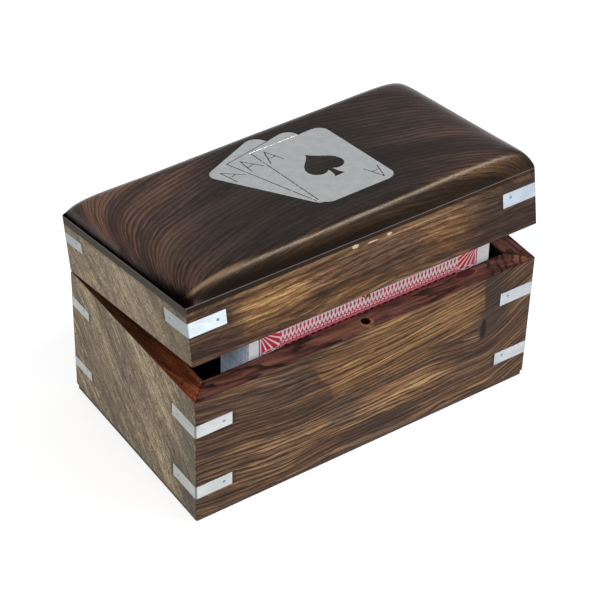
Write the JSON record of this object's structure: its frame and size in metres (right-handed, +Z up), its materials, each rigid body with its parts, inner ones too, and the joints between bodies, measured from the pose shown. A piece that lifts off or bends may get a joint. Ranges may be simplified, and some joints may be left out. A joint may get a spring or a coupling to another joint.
{
  "type": "playing card box",
  "caption": "Small hinged hardwood box that holds a deck of playing cards, with a pillow-shaped lid, metal corner straps and an inlaid card-fan emblem, shown slightly open.",
  "frame": {"origin": "centre of the base's underside, on the surface that the box stands on", "axes": "+X along the box's length, from left to right as seen from the front; the front faces -Y, the hinges are at +Y; +Z up"},
  "size_m": [0.1252, 0.076, 0.0869],
  "materials": {
    "base_wall_wood": "satin",
    "lid_wall_wood": "satin",
    "top_panel_wood": "satin",
    "board_wood": "matte",
    "lining": "matte",
    "straps": "satin",
    "strap_pins": "satin",
    "emblem": "satin",
    "catch_brass": "satin",
    "hinge_brass": "satin",
    "card_back": "smooth",
    "card_stock": "smooth"
  },
  "bodies": {
    "base": {"base_front_wall": "base_wall_wood", "base_back_wall": "base_wall_wood", "base_left_wall": "base_wall_wood", "base_right_wall": "base_wall_wood", "bottom_board": "board_wood", "base_lining_floor": "lining", "base_lining_front": "lining", "base_lining_back": "lining", "base_lining_left": "lining", "base_lining_right": "lining", "base_strap_front_left_upper": "straps", "base_strap_front_left_lower": "straps", "base_strap_front_right_upper": "straps", "base_strap_front_right_lower": "straps", "base_strap_back_left_upper": "straps", "base_strap_back_left_lower": "straps", "base_strap_back_right_upper": "straps", "base_strap_back_right_lower": "straps", "base_strap_pins": "strap_pins", "base_hinge_leaf_left": "hinge_brass", "base_hinge_leaf_right": "hinge_brass", "hinge_pin_left": "hinge_brass", "hinge_pin_right": "hinge_brass", "base_hinge_screws": "hinge_brass", "front_card": "card_back", "card_deck": "card_stock"},
    "lid": {"lid_front_wall": "lid_wall_wood", "lid_back_wall": "lid_wall_wood", "lid_left_wall": "lid_wall_wood", "lid_right_wall": "lid_wall_wood", "lid_top_panel": "top_panel_wood", "lid_lining_top": "lining", "lid_lining_front": "lining", "lid_lining_back": "lining", "lid_lining_left": "lining", "lid_lining_right": "lining", "lid_strap_front_left": "straps", "lid_strap_front_right": "straps", "lid_strap_back_left": "straps", "lid_strap_back_right": "straps", "lid_strap_pins": "strap_pins", "emblem_plate": "emblem", "catch_peg": "catch_brass", "lid_hinge_leaf_left": "hinge_brass", "lid_hinge_leaf_right": "hinge_brass", "lid_hinge_screws": "hinge_brass"}
  },
  "joints": [
    {"name": "lid_hinge", "type": "hinge", "parent": "base", "child": "lid", "pos_m": [0, 0.03525, 0.04845], "axis": [-1, 0, 0], "range_deg": [-10.3, 89.7]}
  ]
}
